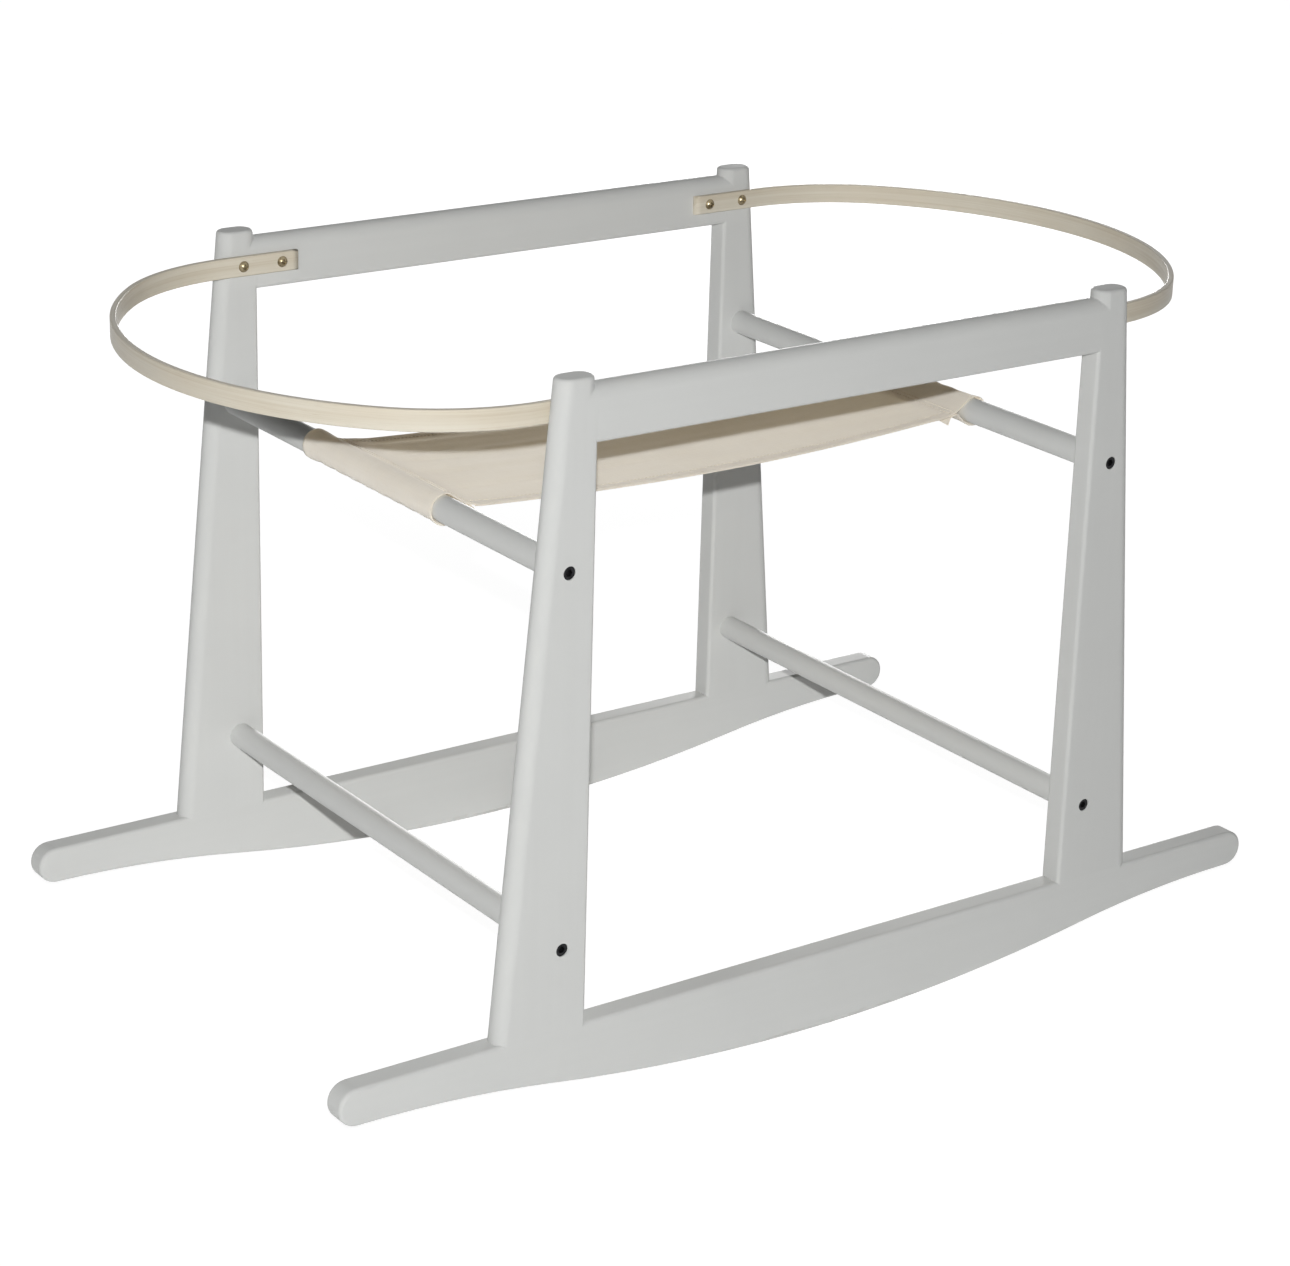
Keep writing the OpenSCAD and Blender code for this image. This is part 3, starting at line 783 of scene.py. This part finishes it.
def hem_strips():
    """A turned hem under each free edge of the panel, from the sewing of one flap to that of the other."""
    places, faces, flat = [], [], []
    reach = seam_x - HEM_START
    inside = [i for i in range(count_x) if abs(section[i, 0]) < reach and section[i, 2] == 0]
    # Across the hem: how far in from the edge and how far down, round the fold and back along the underside
    fold = HEM_FOLD_R
    turned = np.linspace(math.pi / 2, -math.pi / 2, 7)
    profile = [(0.0004, 0.0)]
    profile += [(-fold * math.cos(a), -fold + fold * math.sin(a)) for a in turned]
    profile += [(w, -2 * fold) for w in np.linspace(0.001, HEM_WIDTH, 8)]
    for edge_j, way in ((0, 1), (count_y - 1, -1)):
        start = len(places)
        for i in inside:
            for inward, drop in profile:
                j = edge_j + way * max(inward, 0) / (points[0, 1, 1] - points[0, 0, 1])
                a = int(np.clip(math.floor(j), 0, count_y - 2))
                share = j - a
                spot = (1 - share) * points[i, a] + share * points[i, a + 1]
                normal = (1 - share) * normals[i, a] + share * normals[i, a + 1]
                spot = spot + normal * drop + np.array([0, way * min(inward, 0), 0])
                places.append(spot)
                flat.append((run[i], inward))
        wide = len(profile)
        for i in range(len(inside) - 1):
            for k in range(wide - 1):
                a = start + i * wide + k
                quad = (a, a + wide, a + wide + 1, a + 1)
                faces.append(quad if way < 0 else quad[::-1])
    return cloth_piece("sling_hems", places, faces, flat, HEM_THICK)


def stitch_rows():
    """The sewing, above and below the cloth: two rows at each sleeve seam and one along each hem."""
    panel = [i for i in range(count_x) if section[i, 2] == 0]
    spots, edges = [], []

    def add(row):
        """One path of edges for the threads to follow."""
        start = len(spots)
        spots.extend(row)
        edges.extend((start + n, start + n + 1) for n in range(len(row) - 1))

    lift = CLOTH_THICK / 2 + THREAD_R * 0.3
    for side in (-1, 1):
        for out in SEAM_ROWS:
            i = min(panel, key=lambda n: abs(section[n, 0] - side * (seam_x - out)))
            add([points[i, j] + normals[i, j] * lift for j in range(1, count_y - 1)])
            add([points[i, j] - normals[i, j] * (lift + CLOTH_THICK) for j in range(1, count_y - 1)])
    pitch = points[0, 1, 1] - points[0, 0, 1]
    hem_row = round(HEM_ROW / pitch)
    kept = [i for i in panel if abs(section[i, 0]) < seam_x - HEM_START - 0.001]
    for j in (hem_row, count_y - 1 - hem_row):
        add([points[i, j] + normals[i, j] * lift for i in kept])
        add([points[i, j] - normals[i, j] * (lift + CLOTH_THICK) for i in kept])
    rows = mesh_piece("sling_stitches", spots, [], edges)
    sizes = {"Pitch": STITCH_PITCH, "Long": STITCH_LONG, "Radius": THREAD_R, "Thread": cream_thread}
    return grown_mesh(rows, stitch_row_tree(), sizes)


hems = hem_strips()
stitches = stitch_rows()
for piece in (sling, hems, stitches):
    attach(piece, "root")
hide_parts("sling")


# The upper edges of the frames: each rail is round over its whole top, and runs into the round side of a post

def cut_skin(node_name, base, cuts):
    """The skin of a solid as one mesh, with more edges across it above a height, ready to take a round."""
    skin = bmesh.new()
    skin.from_mesh(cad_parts[node_name].data)
    bmesh.ops.remove_doubles(skin, verts=skin.verts, dist=JOIN)
    for spot, way in [((0, 0, base), (0, 0, 1)), *cuts]:
        faces = [f for f in skin.faces if max(v.co.z for v in f.verts) > base]
        near = {part for f in faces for part in (f, *f.edges, *f.verts)}
        bmesh.ops.bisect_plane(skin, geom=list(near), dist=JOIN, plane_co=spot, plane_no=way)
    return skin


def painted_piece(skin, paint, node_name):
    """The finished skin as a piece that stands for a solid, smooth but for its sharp edges."""
    bmesh.ops.remove_doubles(skin, verts=skin.verts, dist=JOIN)
    bmesh.ops.recalc_face_normals(skin, faces=skin.faces)
    for face in skin.faces:
        face.smooth = True
    for edge in skin.edges:
        edge.smooth = edge.calc_face_angle() < SHARP_TURN
    piece = mesh_piece(node_name + "_round", [], [])
    skin.to_mesh(piece.data)
    skin.free()
    for layer in [a for a in piece.data.attributes if a.name == "custom_normal"]:
        piece.data.attributes.remove(layer)
    piece.data.materials.clear()
    piece.data.materials.append(paint)
    piece.modifiers.new("flat_faces", "WEIGHTED_NORMAL").keep_sharp = True
    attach(piece, "root")
    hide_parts(node_name)


def round_rail(node_name):
    """A rail whose two upper edges meet in one round."""
    low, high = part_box(node_name)
    half, middle = (high.y - low.y) / 2, (high.y + low.y) / 2
    base = high.z - half
    steps = [half * math.tan(math.radians(a)) for a in (7.5, 15, 22.5, 30)]
    cuts = [((0, 0, base + step), (0, 0, 1)) for step in steps]
    cuts += [((0, middle + step, 0), (0, 1, 0)) for s in steps for step in (s, -s)]
    cuts.append(((0, middle, 0), (0, 1, 0)))
    skin = cut_skin(node_name, base, cuts)
    for point in skin.verts:
        across, up = point.co.y - middle, point.co.z - base
        # The pin holes lie inside the round and stay
        if up > 0 and max(abs(across), up) > RAIL_SKIN * half:
            share = half / math.hypot(across, up)
            point.co.y, point.co.z = middle + across * share, base + up * share
    painted_piece(skin, rail_paint, node_name)


def round_post(node_name, rail_name, pin_name):
    """A post that takes over the round of its rail and ends above it in an oval top."""
    low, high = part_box(node_name)
    rail_top, pin_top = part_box(rail_name)[1].z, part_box(pin_name)[1].z
    side = 1 if high.x > 0 else -1
    inner, foot = sorted((abs(low.x), abs(high.x)))
    half, middle = (high.y - low.y) / 2, (high.y + low.y) / 2
    hub, base = inner + half, rail_top - half
    outer_hub = inner + POST_TOP_WIDTH - half
    taper = (foot - inner - POST_TOP_WIDTH) / (high.z - low.z)
    # The solid is kept up to its pin holes, and the top is built on from there
    seam = pin_top + PIN_COVER

    def rail_half(height):
        """Half the width of the round rail at a height."""
        return math.sqrt(max(half ** 2 - max(height - base, 0.0) ** 2, 0.0))

    def flank(along, height):
        """Half the width of the post where the rail runs into its round inner side."""
        return max(rail_half(height), math.sqrt(max(half ** 2 - max(hub - along, 0.0) ** 2, 0.0)))

    steps = [half * math.sin(math.radians(a)) for a in range(9, 90, 9)]
    cuts = [((0, 0, base + step), (0, 0, 1)) for step in steps if base + step < seam - JOIN]
    cuts += [((side * (hub - step), 0, 0), (1, 0, 0)) for step in (0.0, *steps)]
    # The round of the rail and that of the post meet in a mitre
    cuts.append(((side * hub, 0, base), (side, 0, 1)))
    skin = cut_skin(node_name, base, cuts)
    every = skin.verts[:] + skin.edges[:] + skin.faces[:]
    level = {"plane_co": (0, 0, seam), "plane_no": (0, 0, 1)}
    bmesh.ops.bisect_plane(skin, geom=every, dist=JOIN, clear_outer=True, **level)
    for point in skin.verts:
        along, across = abs(point.co.x), point.co.y - middle
        # The pin holes lie inside and stay
        if point.co.z > base and along < hub and abs(across) > POST_SKIN * half:
            point.co.y = middle + math.copysign(flank(along, point.co.z), across)
    # The open rim in order, and the rows above it: a height and how far the top's edge is eased in there
    rim = [e for e in skin.edges if len(e.link_faces) == 1]
    loop, edge = [rim[0].verts[0]], rim[0]
    while len(loop) < len(rim):
        loop.append(edge.other_vert(loop[-1]))
        edge = next(e for e in loop[-1].link_edges if e is not edge and len(e.link_faces) == 1)
    outline = [(abs(p.co.x), p.co.y - middle) for p in loop]
    rows = [(base + step, 0.0) for step in (*steps, half) if base + step > seam + JOIN]
    for turn in (math.radians(a) for a in range(0, 91, 15)):
        rows.append((high.z - POST_TOP_EDGE * (1 - math.sin(turn)), POST_TOP_EDGE * (1 - math.cos(turn))))
    for height, inset in rows:
        ring = []
        for along, across in outline:
            if along > hub:
                along -= taper * (height - seam) * min((along - hub) / (outer_hub - hub), 1.0)
            elif along > inner + JOIN:
                across = math.copysign(flank(along, height), across)
            else:
                across *= rail_half(height) / rail_half(seam)
            spine = min(max(along, hub), outer_hub)
            along, across = spine + (along - spine) * (1 - inset / half), across * (1 - inset / half)
            ring.append(skin.verts.new((side * along, middle + across, height)))
        for k in range(len(ring)):
            skin.faces.new((loop[k - 1], loop[k], ring[k], ring[k - 1]))
        loop = ring
    bmesh.ops.triangulate(skin, faces=[skin.faces.new(loop)])
    painted_piece(skin, post_paint, node_name)


for end in ("front", "rear"):
    round_rail(end + "_top_rail")
    for hand in ("left", "right"):
        round_post(f"{end}_{hand}_post", end + "_top_rail", end + "_rail_pins")


# Finishes of the pieces that are shown as their solids

FINISHES = {
    "rocker": rocker_paint,
    "crossbar": crossbar_paint,
    "screws": nickel_brass,
    "bolts": black_steel,
    "inserts": zinc_plate,
    "pins": dowel_wood,
}
for name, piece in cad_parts.items():
    kind = name.split("_")[-1]
    if kind in FINISHES:
        for place in piece.material_slots:
            place.material = FINISHES[kind]


# Camera, light and floor

IMAGE_WIDTH = 1290
FOCAL_PIXELS = 3299.58
eye = Vector((-1.371617, -1.902274, 1.098523))
turn, tilt, roll = (math.radians(v) for v in (-35.661, 20.355, 1.655))
ahead = Vector((-math.sin(turn) * math.cos(tilt), math.cos(turn) * math.cos(tilt), -math.sin(tilt)))
level = Vector((math.cos(turn), math.sin(turn), 0))
above = level.cross(ahead)
right = math.cos(roll) * level + math.sin(roll) * above
upward = -math.sin(roll) * level + math.cos(roll) * above
camera_data = bpy.data.cameras.new("photo_camera")
camera_data.sensor_width = 36
camera_data.lens = FOCAL_PIXELS * camera_data.sensor_width / IMAGE_WIDTH
camera = bpy.data.objects.new("photo_camera", camera_data)
camera.matrix_world = Matrix.Translation(eye) @ Matrix((right, upward, -ahead)).transposed().to_4x4()
scene.collection.objects.link(camera)
scene.camera = camera


def lamp(name, spot, aim, size, power):
    """A round lamp that looks at a point."""
    data = bpy.data.lights.new(name, "AREA")
    data.shape, data.size, data.energy = "DISK", size, power
    made = bpy.data.objects.new(name, data)
    made.location = spot
    made.rotation_euler = (Vector(aim) - Vector(spot)).to_track_quat("-Z", "Y").to_euler()
    scene.collection.objects.link(made)
    return data


centre = (0.0, 0.0, 0.26)
FLASH_OVER_LENS = 0.10
flash = lamp("key_lamp", eye + FLASH_OVER_LENS * upward, aim=(-0.45, -0.1, 0.3), size=0.03, power=9.6)
flash.spread = math.radians(130)
# Its light fades as from a lamp farther back, so that the rear frame stays as pale as the front one
flash.use_nodes = True
fade = put(flash.node_tree, "ShaderNodeLightFalloff", {"Strength": 1.0})
flash.node_tree.links.new(fade.outputs["Linear"], flash.node_tree.nodes["Emission"].inputs["Strength"])
lamp("side_lamp", Vector((-2.5, -0.9, 1.2)), aim=centre, size=1.2, power=4)
lamp("back_lamp", Vector((2.6, 3.0, 0.42)), aim=centre, size=1.0, power=110)

PURE_WHITE = (1, 1, 1, 1)
FLOOR_HALF = 8
FLOOR_GAP = 0.0003
# How far from the middle the paper starts to fade into the white of the room, and how pale it is at both ends
PAPER_FADE = (0.6, 1.8)
PAPER_PALE = (0.945, 1.0)
world = bpy.data.worlds.new("white_room")
scene.world = world
world.use_nodes = True
tree = world.node_tree
tree.nodes.clear()


def seen(tree):
    """1 where the camera, a reflection or a clear material looks, 0 for light on the object."""
    rays = tree.nodes.new("ShaderNodeLightPath").outputs
    value = sums(tree, "MAXIMUM", rays["Is Camera Ray"], rays["Is Glossy Ray"])
    return sums(tree, "MAXIMUM", value, rays["Is Transmission Ray"])


fill = put(tree, "ShaderNodeBackground", {"Color": PURE_WHITE, "Strength": 0.03})
white = put(tree, "ShaderNodeBackground", {"Color": PURE_WHITE, "Strength": 1.0})
both = put(tree, "ShaderNodeMixShader", {0: seen(tree), 1: fill.outputs[0], 2: white.outputs[0]})
put(tree, "ShaderNodeOutputWorld", {"Surface": both.outputs[0]})

floor_corners = [(x * FLOOR_HALF, y * FLOOR_HALF, 0) for x, y in ((-1, -1), (1, -1), (1, 1), (-1, 1))]
floor = mesh_piece("floor", floor_corners, [(0, 1, 2, 3)])
floor.location.z = cad_box[0].z - FLOOR_GAP
paper = bpy.data.materials.new("white_paper")
paper.use_nodes = True
tree = paper.node_tree
tree.nodes.clear()
paper_white = put(tree, "ShaderNodeBsdfDiffuse", {"Color": (0.9, 0.9, 0.9, 1)})
paper_glow = put(tree, "ShaderNodeEmission", {"Color": PURE_WHITE, "Strength": 0.12})
plain = put(tree, "ShaderNodeAddShader", {0: paper_glow.outputs[0], 1: paper_white.outputs[0]})
faint = put(tree, "ShaderNodeBsdfDiffuse", {"Color": (0.2, 0.2, 0.2, 1)})
place = tree.nodes.new("ShaderNodeTexCoord").outputs["Object"]
reach = put(tree, "ShaderNodeVectorMath", {0: place}, operation="LENGTH").outputs["Value"]
pale = spread(tree, reach, *PAPER_FADE, *PAPER_PALE)
glow = put(tree, "ShaderNodeEmission", {"Color": PURE_WHITE, "Strength": pale})
lit = put(tree, "ShaderNodeAddShader", {0: glow.outputs[0], 1: faint.outputs[0]})
both = put(tree, "ShaderNodeMixShader", {0: seen(tree), 1: plain.outputs[0], 2: lit.outputs[0]})
put(tree, "ShaderNodeOutputMaterial", {"Surface": both.outputs[0]})
floor.data.materials.append(paper)
